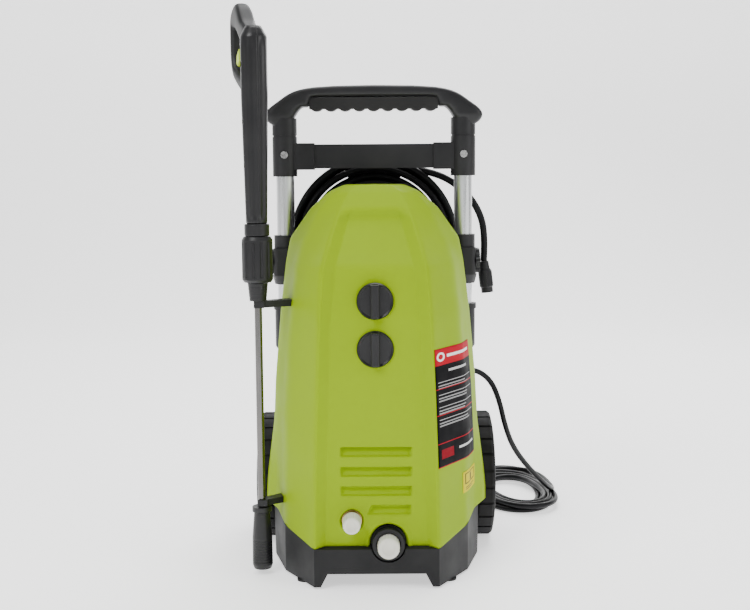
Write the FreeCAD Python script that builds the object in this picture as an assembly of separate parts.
"""Upright electric pressure washer with a pull-up handle, wheels, spray gun, lance and hose.

Machine axes while building, in mm: x = 0 is the body's middle plane, the front faces -y,
z = 0 is the floor.  Every solid is moved by ROW_SHIFT when it is saved, which puts the
origin at the bottom centre of the object's box.
"""
import FreeCAD, Part
import math
import os

V = FreeCAD.Vector
X, Y, Z = V(1, 0, 0), V(0, 1, 0), V(0, 0, 1)

# ---- driving dimensions, mm -------------------------------------------------------------
ROW_SHIFT = V(7.5, -23.5, 0)
WALL = 4.0                      # moulded shell wall
TOP_Z = 571.5                   # top of the body
BACK_Y = 45.0                   # where the front shell meets the rear shell
PARTING_FRONT, PARTING_SIDE = 57.0, 87.0
BASE_Z = 3.0                    # underside of the tub, on its rubber feet
ARCH_H = 22.0                   # height of the tunnel under the tub

REAR_HALF, REAR_Y = 115.0, 105.0
TUB_REAR_HALF, TUB_REAR_Y, TUB_REAR_Z = 145.0, 140.0, 128.0

TUBE_X, TUBE_Y, TUBE_R, TUBE_WALL = 138.0, 75.0, 14.0, 1.5
TUBE_Z = (190.0, 664.0)
SLIP = 0.08                     # radial clearance of sliding and turning fits
SLEEVE_R, SLEEVE_Z = 19.0, (583.0, 672.0)

WHEEL_R, WHEEL_Y = 100.0, 120.0
WHEEL_IN, WHEEL_OUT = 155.0, 187.0
AXLE_R = 6.0

KNOB_R, KNOB_Z, KNOB_SHAFT_R = 26.2, (409.5, 341.8), 4.0
INLET = V(-35, 0, 96)
OUTLET = V(17, 0, 63)

LANCE_X, LANCE_Y = -169.0, -75.0
LANCE_R = 5.5
GUN_YAW = 21.0                  # the grip points back and a little outwards

HOSE_R, COIL_C, COIL_RI, COIL_RO = 5.5, V(0, 124.5, 478), 98.0, 139.0
COIL_HALF_Y = 16.5
COUPLING_LEAN = 7.0             # degrees; the hanging coupling points clear of the wheel
CORD_R = 4.5
LEAD_COIL = V(250, 347, 0)
PLUG_AT = V(163, 315, 19)
LEAD_COIL_OUT, LEAD_COIL_IN, LEAD_COIL_H = (75.0, 141.0), (36.0, 92.0), 28.0

# Plan of the body at each height: ridge x, y / shoulder x, y / side x.
LEVELS = [
    (0.0, 89, -150, 135, -75, 156),
    (57.0, 89, -148, 135, -75, 157),
    (186.0, 86, -145, 134, -74, 157),
    (278.0, 83, -142, 130, -72, 152.5),
    (384.0, 79, -137, 122, -68, 143),
    (457.0, 74, -128, 114, -60, 134),
    (492.0, 64, -98, 103, -45, 127),
    (537.0, 50, -59, 80, -25, 95),
    (561.0, 38, -39, 58, -12, 67),
    (TOP_Z, 28, -30, 40, -8, 50),
]

# Centre lines of the free runs of the two flexible leads, from exit to coil or coupling.
LEAD_ROUTE = [
    V(110, 129, 262), V(133, 159, 262), V(168, 172, 261), V(194, 180, 240), V(208, 180, 204),
    V(217, 184, 164), V(231, 198, 126), V(253, 219, 92), V(279, 245, 60), V(303, 275, 33),
    V(317, 309, 18), V(320.5, 345, 13.5),
]
HOSE_ROUTE = [
    V(38, 124, 601), V(90, 121, 590), V(132, 118, 569), V(162, 115, 537), V(177, 113, 494),
    V(174, 112, 446),
]


# ---- helpers ---------------------------------------------------------------------------
def box(x0, x1, y0, y1, z0, z1):
    return Part.makeBox(x1 - x0, y1 - y0, z1 - z0, V(x0, y0, z0))


def rod(radius, start, axis, length):
    return Part.makeCylinder(radius, length, start, axis)


def cone(r0, r1, start, axis, length):
    return Part.makeCone(r0, r1, length, start, axis)


def tube(r_out, r_in, start, axis, length):
    return rod(r_out, start, axis, length).cut(rod(r_in, start, axis, length))


def prism(points, push):
    """The closed polygon through the points, pushed along the vector."""
    return Part.Face(Part.makePolygon(points + [points[0]])).extrude(push)


def prism_xz(outline, y0, y1):
    return prism([V(x, y0, z) for x, z in outline], V(0, y1 - y0, 0))


def prism_yz(outline, x0, x1):
    return prism([V(x0, y, z) for y, z in outline], V(x1 - x0, 0, 0))


def prism_xy(outline, z0, z1):
    return prism([V(x, y, z0) for x, y in outline], V(0, 0, z1 - z0))


def lathe(outline, start, axis):
    """Revolve (radius, height) points about an axis through start."""
    solid = Part.Face(Part.makePolygon([V(r, 0, h) for r, h in outline + [outline[0]]]))
    solid = solid.revolve(V(0, 0, 0), Z, 360)
    return place(solid, start, axis)


def place(solid, start, axis):
    """Turn a solid built on +z to the axis and move it to start."""
    solid = solid.copy()
    solid.Placement = FreeCAD.Placement(start, FreeCAD.Rotation(Z, axis))
    return solid


def fuse(solids):
    return solids[0].fuse(solids[1:]).removeSplitter() if len(solids) > 1 else solids[0]


def soften(solid, radius, keep):
    """Fillet the edges whose middle point passes the test; keep the solid if that fails."""
    edges = [e for e in solid.Edges if keep(e.valueAt((e.FirstParameter + e.LastParameter) / 2), e)]
    try:
        rounded = solid.makeFillet(radius, edges)
        return rounded if rounded.isValid() else solid
    except Part.OCCError:
        print("fillet left out")
        return solid


def mirrored(solid):
    return solid.mirror(V(0, 0, 0), X)


def rounded_path(points):
    """Straight runs joined by tangent arcs; also returns the arc radii."""
    edges, radii, here = [], [], points[0]
    for before, corner, after in zip(points, points[1:], points[2:]):
        to, on = (corner - before), (after - corner)
        turn = to.getAngle(on)
        reach = 0.45 * min(to.Length, on.Length)
        radii.append(reach / math.tan(turn / 2))
        to.normalize()
        on.normalize()
        start, end = corner - to * reach, corner + on * reach
        middle_way = on - to
        middle_way.normalize()
        sagitta = radii[-1] * (1 / math.cos(turn / 2) - 1)
        edges.append(Part.LineSegment(here, start).toShape())
        edges.append(Part.Arc(start, corner + middle_way * sagitta, end).toShape())
        here = end
    edges.append(Part.LineSegment(here, points[-1]).toShape())
    return Part.Wire(edges), radii


def lead(name, points, radius):
    path, radii = rounded_path(points)
    first = points[1] - points[0]
    ring = Part.Wire(Part.makeCircle(radius, points[0], first))
    solid = Part.makeSolid(path.makePipeShell([ring], True, False))
    ratio = solid.Volume / (math.pi * radius ** 2 * path.Length)
    print(name, "length", round(path.Length), "volume ratio", round(ratio, 3),
          "radii", [round(r) for r in radii])
    return solid


# ---- body shells -----------------------------------------------------------------------
def plan_wire(level, inset, back_y):
    z, rx, ry, sx, sy, wx = level
    z = min(z, TOP_Z - inset)
    half = [(rx - inset, ry + inset), (sx - inset, sy + inset / 2), (wx - inset, 5),
            (wx - inset, back_y)]
    ring = half + [(-x, y) for x, y in reversed(half)]
    points = [V(x, y, z) for x, y in ring]
    return Part.makePolygon(points + [points[0]])


def envelope(inset, back_y=BACK_Y):
    return Part.makeLoft([plan_wire(level, inset, back_y) for level in LEVELS], True, True)


def panel_recess(grow):
    """The space in front of the recessed middle panel, grown inwards by `grow`."""
    g = grow
    side = prism_yz([(-220, 30 - g), (-138.5 + g, 30 - g), (-118.5 + g, 451.5 - g),
                     (-22.4 + g, 564 - g), (-60, 640), (-220, 640)], -110, 110)
    front = prism_xz([(-71 - g, 30 - g), (-62 - g, 368), (-53.5 - g, 457), (-35 - g, 525 + g),
                      (35 + g, 525 + g), (53.5 + g, 457), (62 + g, 368), (71 + g, 30 - g)],
                     -220, 60)
    return side.common(front)


def below_parting():
    return prism_yz([(-240, -10), (-240, PARTING_FRONT - 16), (-150, PARTING_FRONT),
                     (0, PARTING_SIDE), (70, PARTING_SIDE), (70, -10)], -220, 220)


def well(radius, inner_x):
    left = rod(radius, V(-inner_x - 60, WHEEL_Y, WHEEL_R), X, 60)
    return left.fuse(rod(radius, V(inner_x, WHEEL_Y, WHEEL_R), X, 60))


def make_front_shell(outer, inner):
    shell = outer.cut(inner).cut(below_parting()).cut(panel_recess(0))
    cuts = [rod(KNOB_SHAFT_R + SLIP, V(0, -160, z), Y, 60) for z in KNOB_Z]
    for top in (202.5, 174.0, 146.0):
        cuts.append(box(-50, 50, -150, -129.3 - (top - 146) * -0.047, top - 14, top))
    cuts.append(box(-13, 48.5, -150, -131.5, 118.7 - 14, 118.7))
    cuts.append(rod(14.6, V(INLET.x, -160, INLET.z), Y, 40))
    cuts.append(rod(25.0, V(OUTLET.x, -160, OUTLET.z), Y, 40))
    shell = shell.cut(cuts)
    flare = prism_xz([(150, 223), (157.2, 223), (170, 93), (150, 88)], -2, 13)
    flare = flare.cut(envelope(0.0)).cut(well(106, 150))
    return fuse([shell, flare, mirrored(flare)])


def make_base_tub(outer, inner):
    front = outer.common(below_parting())
    room = inner.common(box(-200, 200, -200, 50, 26, 120))
    rear = box(-TUB_REAR_HALF, TUB_REAR_HALF, BACK_Y, TUB_REAR_Y, BASE_Z, TUB_REAR_Z)
    rear = soften(rear, 14, lambda p, e: p.y > TUB_REAR_Y - 1 and p.z > 20)
    rear_room = box(-TUB_REAR_HALF + WALL, TUB_REAR_HALF - WALL, BACK_Y - 5, TUB_REAR_Y - WALL,
                    26, TUB_REAR_Z - WALL)
    tunnel = prism_xz([(-84, -5), (-70, ARCH_H), (70, ARCH_H), (84, -5)], -200, 200)
    mouth = box(-REAR_HALF + WALL, REAR_HALF - WALL, BACK_Y, REAR_Y - WALL, 100, 140)
    tub = fuse([front, rear]).cut([room, rear_room, tunnel, mouth,
                                   box(-200, 200, -200, 200, -5, BASE_Z)])
    tub = tub.cut(rod(25.0, V(OUTLET.x, -170, OUTLET.z), Y, 52))
    return tub.cut(rod(AXLE_R, V(-200, WHEEL_Y, WHEEL_R), X, 400))


def make_rear_shell():
    """A flange behind the front shell and a narrower box that carries tubes and hook."""
    side = [(level[5], level[0]) for level in LEVELS if level[0] > PARTING_SIDE]
    side = [(156.9, PARTING_SIDE)] + side
    outline = side + [(-x, z) for x, z in reversed(side)]
    flange = prism_xz(outline, BACK_Y, BACK_Y + WALL)
    low = TUB_REAR_Z
    h, t = REAR_HALF, WALL
    box_out = prism_xz([(-h, low), (-h, 490), (-88, 540), (-55, 560), (55, 560), (88, 540),
                        (h, 490), (h, low)], BACK_Y + WALL, REAR_Y)
    box_out = soften(box_out, 8, lambda p, e: p.y > REAR_Y - 0.5 and p.z > low + 1)
    i = h - t
    room = prism_xz([(-i, low - 5), (-i, 488), (-86, 536), (-53, 556), (53, 556), (86, 536),
                     (i, 488), (i, low - 5)], BACK_Y - 5, REAR_Y - t)
    shell = fuse([flange, box_out]).cut(room).cut(well(106, 150))
    shell = shell.cut(box(-TUB_REAR_HALF, TUB_REAR_HALF, BACK_Y, TUB_REAR_Y, 80, low))
    vents = [box(-60, 60, REAR_Y - 1.5, REAR_Y + 5, z, z + 8) for z in range(200, 330, 22)]
    return shell.cut(vents)


def make_label(x0, x1, z_low, z_high, slope):
    """A thin skin laid on the body's right cheek."""
    window = prism_xz([(x0, z_high), (x1, z_high + slope), (x1 + 6, z_low + slope),
                       (x0 + 3, z_low)], -200, 40)
    return envelope(-0.8).common(window).cut(envelope(0.0))


def make_feet():
    spots = [(-104, -108), (104, -108), (-120, 20), (120, 20)]
    return Part.makeCompound([rod(12, V(x, y, 0), Z, BASE_Z) for x, y in spots])


def make_shell_screws():
    """Pan-head screws at the back that hold the rear shell to the front shell."""
    spots = [(-98, 160), (98, 160), (-98, 330), (98, 330), (-80, 520), (80, 520)]
    return Part.makeCompound([cone(4.2, 3.4, V(x, REAR_Y, z), Y, 2.4) for x, z in spots])


# ---- things fixed to the shells ----------------------------------------------------------
def make_hook():
    arc = tube(97, 90, V(0, REAR_Y, COIL_C.z), Y, 47)
    lip = tube(124, 90, V(0, REAR_Y + 41, COIL_C.z), Y, 6)
    wedge = prism_xz([(0, COIL_C.z), (-62, COIL_C.z + 150), (62, COIL_C.z + 150)], REAR_Y, 160)
    plate = box(-32, 32, REAR_Y, REAR_Y + 3, 490, 560)
    curl = fuse([arc, lip]).common(wedge)
    rib = box(-3, 3, REAR_Y, REAR_Y + 40, 548, 569)
    return fuse([curl, plate, rib])


def make_clamp():
    """Right-hand clamp: collar, block and wing round the tube, with an arm to the shell."""
    collar = rod(18.7, V(TUBE_X, TUBE_Y, 468), Z, 24)
    block = box(REAR_HALF, 157, TUBE_Y - 22, TUBE_Y + 22, 430, 472)
    block = block.cut(box(REAR_HALF, 125, TUBE_Y - 30, BACK_Y + WALL, 400, 500))
    block = soften(block, 7, lambda p, e: p.x > 150 and abs(p.z - 451) < 15)
    taper = cone(18.4, 22.0, V(TUBE_X, TUBE_Y, 416), Z, 14)
    solid = fuse([collar, block, taper])
    solid = solid.cut(rod(TUBE_R + SLIP, V(TUBE_X, TUBE_Y, 400), Z, 120))
    return solid.cut(rod(4.0 + SLIP, V(150, TUBE_Y, 451), X, 20))


def make_socket():
    barrel = rod(19.0, V(TUBE_X, TUBE_Y, 318), Z, 66)
    foot = cone(16.5, 19.0, V(TUBE_X, TUBE_Y, 314), Z, 4)
    arm = box(REAR_HALF, TUBE_X, TUBE_Y - 14, TUBE_Y + 14, 326, 372)
    rim = tube(21.0, 18.0, V(TUBE_X, TUBE_Y, 376), Z, 8)
    return fuse([barrel, foot, arm, rim]).cut(rod(TUBE_R + SLIP, V(TUBE_X, TUBE_Y, 300), Z, 120))


def make_lock_knob():
    """Hand knob of the right clamp, turning about x, with its clamping screw."""
    lobes = [rod(5.5, V(157.4, TUBE_Y + 15.5 * math.cos(a), 451 + 15.5 * math.sin(a)), X, 5.6)
             for a in (math.radians(60 * k) for k in range(6))]
    disc = rod(17.5, V(157.4, TUBE_Y, 451), X, 6.4)
    screw = rod(4.0, V(152.4, TUBE_Y, 451), X, 6)
    return fuse([disc, screw] + lobes)


def make_clip(z_low, z_high, body_x):
    """A U-shaped clip, open to -x, on an arm from the body's left cheek."""
    back = box(LANCE_X - 6, LANCE_X + 9, LANCE_Y - 9.5, LANCE_Y + 9.5, z_low, z_high)
    arm = prism_xy([(LANCE_X + 1, LANCE_Y + 9), (LANCE_X + 8.5, LANCE_Y - 4), (body_x, -58),
                    (body_x, -32)], z_low, z_high)
    slot = box(LANCE_X - 20, LANCE_X, LANCE_Y - LANCE_R - SLIP, LANCE_Y + LANCE_R + SLIP,
               z_low - 1, z_high + 1)
    seat = rod(LANCE_R + SLIP, V(LANCE_X, LANCE_Y, z_low - 1), Z, z_high - z_low + 2)
    clip = soften(back, 3, lambda p, e: p.x < LANCE_X - 5 and abs(p.y - LANCE_Y) > 5)
    return fuse([clip, arm]).cut([slot, seat, envelope(0.0)])


# ---- handle ------------------------------------------------------------------------------
GRIP_RIGHT = [(0, 720.6), (70, 718), (115, 714), (161, 683), (165, 679), (165, 673), (139, 655),
              (120, 671), (120, 674), (109, 689), (100, 686), (0, 686)]


def make_grip():
    outline = GRIP_RIGHT + [(-x, z) for x, z in reversed(GRIP_RIGHT) if x > 0]
    bar = prism_xz(outline, TUBE_Y - 19, TUBE_Y + 19)
    bar = soften(bar, 9, lambda p, e: abs(abs(p.y - TUBE_Y) - 19) < 0.1 and p.z > 676
                 and abs(p.x) < 163 and p.z > 700)
    cuts = [insert_room(0)]
    for side in (-1, 1):
        cuts.append(rod(SLEEVE_R, V(side * TUBE_X, TUBE_Y, 640), Z, SLEEVE_Z[1] - 640))
    return bar.cut(cuts)


def insert_room(drop):
    return box(-99, 99, TUBE_Y - 14, TUBE_Y + 14, 686 - drop, 703)


def make_insert():
    """The soft grip under the bar, with finger bumps."""
    pad = box(-99, 99, TUBE_Y - 14, TUBE_Y + 14, 686, 703)
    bumps = [rod(12.4, V(x, TUBE_Y - 14, 694.6), Y, 28)
             for x in (22.0 * k for k in range(-4, 5))]
    limit = box(-99, 99, TUBE_Y - 14, TUBE_Y + 14, 681, 703)
    return fuse([pad] + bumps).common(limit)


def make_sleeve(side):
    x = side * TUBE_X
    low, high = SLEEVE_Z
    sleeve = rod(SLEEVE_R, V(x, TUBE_Y, low), Z, high - low)
    groove = tube(SLEEVE_R + 1, SLEEVE_R - 1.2, V(x, TUBE_Y, 644), Z, 2.2)
    pocket = rod(6.6, V(x, TUBE_Y - SLEEVE_R - 1, 616), Y, 4.0)
    return sleeve.cut([groove, pocket, rod(TUBE_R, V(x, TUBE_Y, low - 1), Z, TUBE_Z[1] - low + 1)])


def make_crossbar():
    middle = box(-120, 120, TUBE_Y - 9, TUBE_Y + 9, 595, 632)
    ends = [box(s * 92 if s > 0 else -124, 124 if s > 0 else s * 92, TUBE_Y - 12, TUBE_Y + 12,
                593, 634) for s in (-1, 1)]
    bar = fuse([middle] + ends)
    return bar.cut([rod(SLEEVE_R, V(s * TUBE_X, TUBE_Y, 580), Z, 80) for s in (-1, 1)])


def make_handle_tube(side):
    low, high = TUBE_Z
    return tube(TUBE_R, TUBE_R - TUBE_WALL, V(side * TUBE_X, TUBE_Y, low), Z, high - low)


def make_sleeve_screws():
    heads = []
    for side in (-1, 1):
        head = rod(5.6, V(side * TUBE_X, TUBE_Y - SLEEVE_R + 0.6, 616), Y, 2.4)
        cross = fuse([box(side * TUBE_X - 4, side * TUBE_X + 4, TUBE_Y - 20, TUBE_Y - 17.2,
                          615.2, 616.8),
                      box(side * TUBE_X - 0.8, side * TUBE_X + 0.8, TUBE_Y - 20, TUBE_Y - 17.2,
                          612, 620)])
        heads.append(head.cut(cross))
    return Part.makeCompound(heads)


# ---- wheels ------------------------------------------------------------------------------
def make_tyre():
    """Right tyre: a ring with a crowned tread and cross grooves."""
    w0, w1, r = WHEEL_IN, WHEEL_OUT, WHEEL_R
    outline = [(78, w0 + 3), (88, w0), (r - 3, w0 + 2), (r, w0 + 6), (r, w1 - 6),
               (r - 3, w1 - 2), (88, w1), (78, w1 - 3)]
    tyre = lathe(outline, V(0, WHEEL_Y, WHEEL_R), X)
    grooves = []
    for k in range(24):
        a = math.radians(15 * k)
        cut = box(w0 - 1, w1 + 1, -2.2, 2.2, r - 2.5, r + 3)
        cut.rotate(V(0, 0, 0), X, math.degrees(a))
        cut.translate(V(0, WHEEL_Y, WHEEL_R))
        grooves.append(cut)
    return tyre.cut(grooves)


def make_hub():
    """Right wheel disc: rim, web with round windows, and a bore that runs on the axle."""
    w0, w1 = WHEEL_IN, WHEEL_OUT
    rim = tube(78, 72, V(w0 + 3, WHEEL_Y, WHEEL_R), X, w1 - w0 - 6)
    web = rod(73, V(w0 + 12, WHEEL_Y, WHEEL_R), X, 5)
    boss = rod(14, V(w0, WHEEL_Y, WHEEL_R), X, 25)
    windows = []
    for k in range(6):
        a = math.radians(60 * k)
        windows.append(rod(13, V(w0, WHEEL_Y + 45 * math.cos(a), WHEEL_R + 45 * math.sin(a)),
                           X, 40))
    ribs = [box(w0 + 4, w0 + 22, -2, 2, 13, 73) for _ in range(6)]
    for k, rib in enumerate(ribs):
        rib.rotate(V(0, 0, 0), X, 60 * k)
        rib.translate(V(0, WHEEL_Y, WHEEL_R))
    wheel = fuse([rim, web, boss] + ribs).cut(windows)
    return wheel.cut(rod(AXLE_R + 0.05, V(w0 - 5, WHEEL_Y, WHEEL_R), X, 60))


def make_hub_cap():
    """Round cap pressed over the end of the right hub's boss."""
    return lathe([(0, 28.5), (14, 28.5), (16, 26), (16, 22.3), (14, 22.3), (14, 25.6),
                  (0, 25.6)], V(WHEEL_IN, WHEEL_Y, WHEEL_R), X)


# ---- controls and water ports --------------------------------------------------------------
def panel_y(z):
    """Front face of the recessed panel below the knobs' height."""
    return -138.5 + (z - 30) * 20 / 421.5


def make_knob(z):
    """Round knob with a raised finger bar; its shaft goes into the valve or switch."""
    back = panel_y(z - KNOB_R) - 0.5
    disc = lathe([(0, 0), (KNOB_R, 0), (KNOB_R, 5), (KNOB_R - 1.6, 7.5), (KNOB_R - 4, 6.2),
                  (0, 6.2)], V(0, back, z), -Y)
    bar = box(-6, 6, back - 16, back - 4, z - 24, z + 24)
    bar = soften(bar, 2.5, lambda p, e: p.y < back - 15)
    shaft = rod(KNOB_SHAFT_R, V(0, back - 1, z), Y, -100 - back)
    return fuse([disc, bar, shaft])


def make_inner_block(z, half_x, half_z, depth):
    """A switch or valve body behind the panel, bored for its knob's shaft."""
    block = box(-half_x, half_x, -111, -111 + depth, z - half_z, z + half_z)
    neck = rod(8, V(0, -112 - 6, z), Y, 8)
    solid = fuse([block, neck]).cut(rod(KNOB_SHAFT_R + SLIP, V(0, -125, z), Y, 27))
    return solid.cut(panel_recess(6))


def make_inlet_fitting():
    pipe = tube(10, 6, V(INLET.x, -150, INLET.z), Y, 38)
    flange = tube(14.5, 6, V(INLET.x, -133, INLET.z), Y, 4)
    return fuse([pipe, flange])


def make_outlet_fitting():
    ring = tube(23, 17.5, V(OUTLET.x, -146, OUTLET.z), Y, 14)
    flange = tube(24.9, 8, V(OUTLET.x, -132, OUTLET.z), Y, 6)
    pipe = tube(11, 8, V(OUTLET.x, -152, OUTLET.z), Y, 40)
    return fuse([ring, flange, pipe])


def make_inlet_cap():
    outer = cone(13.5, 12.0, V(INLET.x, -138.5, INLET.z), -Y, 26)
    outer = soften(outer, 2.5, lambda p, e: p.y < -160)
    return outer.cut(rod(10 + SLIP, V(INLET.x, -138, INLET.z), -Y, 12.4))


def make_outlet_cap():
    outer = rod(16.0, V(OUTLET.x, -138, OUTLET.z), -Y, 27)
    outer = soften(outer, 3, lambda p, e: p.y < -160)
    notch = box(OUTLET.x - 3, OUTLET.x + 3, -170, -158, OUTLET.z + 12, OUTLET.z + 20)
    return outer.cut([rod(11 + SLIP, V(OUTLET.x, -137, OUTLET.z), -Y, 15.4), notch])


# ---- motor and pump --------------------------------------------------------------------------
def make_motor_housing():
    can = tube(62, 56, V(0, 5, 95), Z, 237)
    plates = [tube(60, 8 + SLIP, V(0, 5, z), Z, 6) for z in (140, 326)]
    stator = tube(56.5, 43, V(0, 5, 175), Z, 120)
    fins = []
    for k in range(16):
        fin = box(60, 68, -1.5, 1.5, 180, 290)
        fin.rotate(V(0, 0, 0), Z, 22.5 * k)
        fin.translate(V(0, 5, 0))
        fins.append(fin)
    return fuse([can, stator] + plates + fins)


def make_rotor():
    """Shaft, laminated core, cooling fan and the slanted drive plate of the pistons."""
    shaft = rod(8, V(0, 5, 112), Z, 250)
    core = rod(42, V(0, 5, 182), Z, 105)
    fan = rod(14, V(0, 5, 338), Z, 16)
    blades = []
    for k in range(9):
        blade = box(12, 56, -1.2, 1.2, 340, 352)
        blade.rotate(V(0, 0, 0), Z, 40 * k)
        blade.translate(V(0, 5, 0))
        blades.append(blade)
    plate = rod(40, V(0, 5, 112), Z, 22)
    tilt = box(-80, 80, -80, 80, 0, 40)
    tilt.rotate(V(0, 0, 0), X, 8)
    tilt.translate(V(0, 5, 124))
    plate = plate.cut(tilt).fuse(rod(12, V(0, 5, 112), Z, 22))
    return fuse([shaft, core, fan, plate] + blades)


def make_pump_head():
    low = box(-60, 60, -72, 70, 26, 95)
    manifold = box(-62, 46, -112, -72, 26, 122)
    oil_room = rod(44, V(0, 5, 95 - 20), Z, 25)
    ports = [rod(6, V(INLET.x, -113, INLET.z), Y, 30), rod(8, V(OUTLET.x, -113, OUTLET.z), Y, 30)]
    return fuse([low, manifold]).cut([oil_room] + ports)


def make_capacitor():
    can = rod(18, V(86, 5, 232), Z, 82)
    strap = box(62, 80, -8, 18, 294, 308).cut(rod(62, V(0, 5, 95), Z, 237))
    return fuse([can, strap])


# ---- spray gun and lance ---------------------------------------------------------------------
def gun_frame(solid):
    """Gun pieces are built with the barrel on z and the grip towards +y, then turned."""
    solid = solid.copy()
    solid.rotate(V(0, 0, 0), Z, GUN_YAW)
    solid.translate(V(LANCE_X, LANCE_Y, 0))
    return solid


GUN_LOOP = [(0, 700), (18, 700), (44, 714), (70, 728), (80, 744), (84, 768), (84, 810),
            (80, 825), (71, 834), (60, 835), (48, 828), (14, 795), (0, 788)]
GUN_GAP = [(20, 722), (46, 730), (68, 742), (73, 758), (73, 800), (62, 797), (20, 766)]


def make_gun_body():
    barrel = lathe([(0, 517), (14.8, 517), (18.6, 697), (18.6, 781), (11, 795), (0, 795)],
                   V(0, 0, 0), Z)
    loop = prism_yz(GUN_LOOP, -12.6, 12.6)
    loop = soften(loop, 5, lambda p, e: abs(abs(p.x) - 12.6) < 0.1 and p.y > 22)
    gap = prism_yz(GUN_GAP, -20, 20)
    body = barrel.fuse(loop).cut(gap)
    bore = rod(7.5, V(0, 68, 804), Z, 40)
    slot = box(-5.2, 5.2, 8, 62, 742, 790)
    screws = [rod(3.2, V(-30, -1, z), X, 60) for z in (742, 662, 600, 548)]
    screws.append(rod(1.5, V(-12, 29, 773), X, 24))
    core = rod(5.0, V(0, 0, 510), Z, 180)
    return body.cut([bore, slot, core] + screws)


def make_trigger():
    blade = prism_yz([(24, 781), (34, 779), (50, 768), (62, 758), (64, 748.5), (58, 744.5),
                      (48, 752), (30, 762), (24, 768)], -4.6, 4.6)
    paddle = prism_yz([(50, 768), (61, 760), (64.5, 748), (57, 743.5), (48, 752)], -9, 9)
    paddle = soften(paddle, 1.5, lambda p, e: abs(p.x) > 8.5)
    pin_hole = rod(1.5 + 0.05, V(-15, 29, 773), X, 30)
    return fuse([blade, paddle]).cut(pin_hole)


def make_gun_pins():
    """Sleeve screws of the two halves and the trigger's pin."""
    pins = [tube(3.2, 1.4, V(-12, -1, z), X, 24) for z in (742, 662, 600, 548)]
    return Part.makeCompound(pins + [rod(1.5, V(-12, 29, 773), X, 24)])


def make_gun_inlet():
    return tube(7.5, 5.0, V(0, 68, 804), Z, 23)


def make_collar():
    ring = rod(18, V(0, 0, 499.3), Z, 17.7)
    ring = soften(ring, 2, lambda p, e: True)
    return fuse([ring, rod(9, V(0, 0, 462), Z, 38)]).cut(rod(5.0, V(0, 0, 460), Z, 60))


def make_lance_nut():
    """Fluted hand nut that joins lance to gun; it turns on both spigots."""
    nut = lathe([(9 + SLIP, 433), (19.5, 433), (22.2, 437), (22.2, 494), (19.5, 498.7),
                 (9 + SLIP, 498.7)], V(0, 0, 0), Z)
    flutes = []
    for k in range(12):
        a = math.radians(30 * k)
        flutes.append(rod(2.6, V(23.4 * math.cos(a), 23.4 * math.sin(a), 440), Z, 51))
    return nut.cut(flutes)


def make_lance_cone():
    outline = [(LANCE_R, 406), (12.3, 406), (14.7, 431.5), (9, 431.5), (9, 458), (LANCE_R, 458)]
    body = lathe(outline, V(0, 0, 0), Z)
    rings = [tube(20, 12.1 + 0.094 * (z - 406), V(0, 0, z), Z, 1.6) for z in (410, 415, 420, 425)]
    return body.cut(rings)


def make_lance_tube():
    return tube(LANCE_R, 4.0, V(0, 0, 80), Z, 374)


def make_nozzle():
    """Nozzle head on the lance's end: flange, body with rings, and a spray orifice."""
    outline = [(0, 8), (13, 8), (15, 14), (14.6, 55), (11.7, 92), (14.2, 94), (14.2, 101),
               (0, 101)]
    body = lathe(outline, V(0, 0, 0), Z)
    body = body.cut([rod(LANCE_R + SLIP, V(0, 0, 79.5), Z, 30), rod(1.6, V(0, 0, 0), Z, 60)])
    rings = [tube(20, 14.0, V(0, 0, z), Z, 1.5) for z in range(18, 54, 4)]
    return body.cut(rings + [rod(5, V(0, 0, 0), Z, 12)])


# ---- hose and lead ----------------------------------------------------------------------------
def make_hose_coil():
    h = COIL_HALF_Y
    ring = lathe([(COIL_RI, -h), (COIL_RO, -h), (COIL_RO, h), (COIL_RI, h)], COIL_C, Y)
    return soften(ring, 8, lambda p, e: True)


def make_coupling():
    """Hose end coupling below the free end of the hose, with grip ribs and a threaded nose."""
    at = HOSE_ROUTE[-1]
    outline = [(0, 0), (7.5, 0), (8.5, -12), (11, -16), (11, -40), (9.4, -42), (9.4, -50),
               (0, -50)]
    body = lathe(outline, at, Z)
    ribs = [box(-12, 12, -0.7, 0.7, -39, -18) for _ in range(8)]
    for k, rib in enumerate(ribs):
        rib.rotate(V(0, 0, 0), Z, 22.5 * k)
        rib.translate(at)
    grooves = [rib.cut(rod(10.4, at - Z * 60, Z, 60)) for rib in ribs]
    body = body.cut(grooves + [rod(7.0, at - Z * 51, Z, 22)])
    body.rotate(at, Y, -COUPLING_LEAN)
    return body


def make_hose_gun_end():
    at = COIL_C - X * 91
    return fuse([rod(8.5, at - Z * 22, Z, 26), rod(4.9, at - Z * 46, Z, 24),
                 rod(7.8, at + Z * 3, Z, 18)])


def make_lead_coil():
    def oval(rx, ry):
        face = Part.Face(Part.Wire(Part.Ellipse(V(0, 0, 0), ry, rx).toShape()))
        solid = face.extrude(Z * LEAD_COIL_H)
        solid.rotate(V(0, 0, 0), Z, 90)
        return solid
    ring = oval(*LEAD_COIL_OUT).cut(oval(*LEAD_COIL_IN))
    ring.translate(LEAD_COIL)
    return ring


def make_gland():
    away = LEAD_ROUTE[1] - LEAD_ROUTE[0]
    away.z = 0
    away.normalize()
    tip = LEAD_ROUTE[0]
    relief = cone(9, 6, tip - away * 30, away, 30)
    boot = box(80, 104, REAR_Y, REAR_Y + 8, 250, 274)
    relief = relief.fuse(boot).cut(box(0, 200, 0, REAR_Y, 200, 300))
    return relief


def make_plug():
    """Earthed mains plug lying behind the right wheel; its pins point to the front."""
    at = PLUG_AT
    body = lathe([(0, 0), (7, 0), (9, 12), (17, 20), (19, 28), (19, 50), (0, 50)], at, -Y)
    pins = [rod(2.4, at + V(s * 9.5, -49, 0), -Y, 20) for s in (-1, 1)]
    boot = cone(7, 5, at - Y, V(11, 30, -5), 32)
    return fuse([body, boot] + pins)


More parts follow.
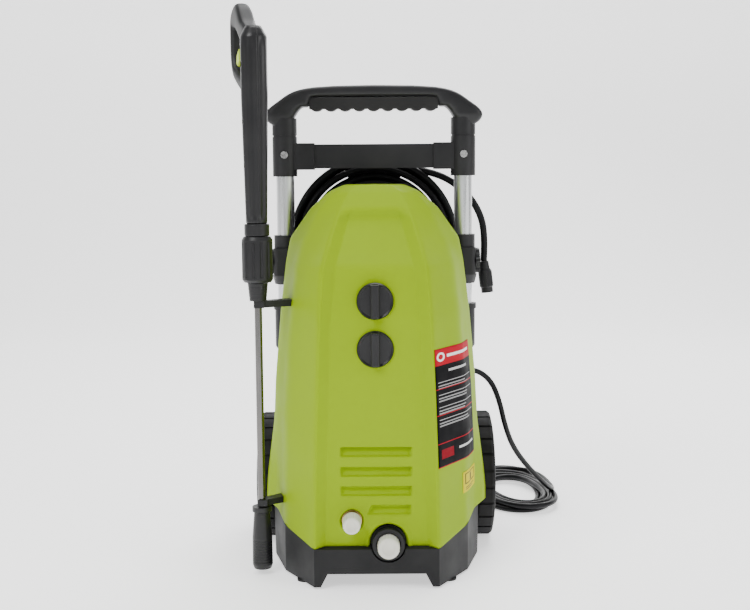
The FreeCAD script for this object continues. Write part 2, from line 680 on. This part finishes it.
# ---- the whole machine --------------------------------------------------------------------------
def build():
    nodes = {}
    outer = envelope(0.0).cut(well(106, 150))
    inner = envelope(WALL, BACK_Y + 2).cut([well(110, 146), panel_recess(6)])
    nodes["front_shell"] = make_front_shell(outer, inner)
    nodes["base_tub"] = make_base_tub(outer, inner)
    nodes["rear_shell"] = make_rear_shell()
    nodes["foot_pads"] = make_feet()
    nodes["shell_screws"] = make_shell_screws()
    nodes["info_label"] = make_label(82, 141, 163, 330, 8)
    nodes["caution_label"] = make_label(127, 150, 118, 158, 3)
    nodes["hose_hook"] = make_hook()
    nodes["lance_clips"] = Part.makeCompound([make_clip(396, 405.6, -117),
                                              make_clip(103, 112, -130)])
    nodes["cord_gland"] = make_gland()
    nodes["wheel_axle"] = rod(AXLE_R, V(-180, WHEEL_Y, WHEEL_R), X, 360)

    right = {"tube_clamp": make_clamp(), "tube_socket": make_socket(),
             "lock_knob": make_lock_knob(), "tyre": make_tyre(), "wheel_hub": make_hub(),
             "hub_cap": make_hub_cap()}
    for name, solid in right.items():
        nodes[name + "_right"] = solid
        nodes[name + "_left"] = mirrored(solid)

    nodes["handle_grip"] = make_grip()
    nodes["grip_insert"] = make_insert()
    nodes["crossbar"] = make_crossbar()
    nodes["sleeve_screws"] = make_sleeve_screws()
    for name, side in (("left", -1), ("right", 1)):
        nodes["handle_sleeve_" + name] = make_sleeve(side)
        nodes["handle_tube_" + name] = make_handle_tube(side)

    nodes["power_knob"] = make_knob(KNOB_Z[0])
    nodes["pressure_knob"] = make_knob(KNOB_Z[1])
    nodes["switch_box"] = make_inner_block(KNOB_Z[0], 22, 26, 34)
    nodes["regulator_valve"] = make_inner_block(KNOB_Z[1], 14, 18, 52)
    nodes["inlet_fitting"] = make_inlet_fitting()
    nodes["outlet_fitting"] = make_outlet_fitting()
    nodes["inlet_cap"] = make_inlet_cap()
    nodes["outlet_cap"] = make_outlet_cap()

    nodes["motor_housing"] = make_motor_housing()
    nodes["rotor"] = make_rotor()
    nodes["pump_head"] = make_pump_head()
    nodes["capacitor"] = make_capacitor()

    gun = make_gun_body()
    half = box(0, 60, -60, 120, 480, 860)
    gun_parts = {"gun_shell_right": gun.common(half), "gun_shell_left": gun.cut(half),
                 "trigger": make_trigger(), "gun_pins": make_gun_pins(), "gun_inlet": make_gun_inlet(),
                 "gun_collar": make_collar(), "lance_nut": make_lance_nut(),
                 "lance_cone": make_lance_cone(), "lance_tube": make_lance_tube(),
                 "nozzle_head": make_nozzle()}
    for name, solid in gun_parts.items():
        nodes[name] = gun_frame(solid)

    nodes["hose_coil"] = make_hose_coil()
    nodes["hose_run"] = lead("hose_run", HOSE_ROUTE, HOSE_R)
    nodes["hose_coupling"] = make_coupling()
    nodes["hose_gun_end"] = make_hose_gun_end()
    nodes["power_cord_coil"] = make_lead_coil()
    nodes["power_cord_run"] = lead("power_cord_run", LEAD_ROUTE, CORD_R)
    nodes["power_plug"] = make_plug()
    return nodes


def main():
    os.makedirs("parts", exist_ok=True)
    for name, shape in build().items():
        solids = Part.makeCompound(shape.Solids)
        solids.translate(ROW_SHIFT)
        if not solids.isValid() or not solids.Solids:
            print("NOT VALID", name)
        if len(solids.Solids) == 1:
            solids = solids.Solids[0]
        solids.exportStep("parts/" + name + ".step")


if __name__ == "__main__":
    main()
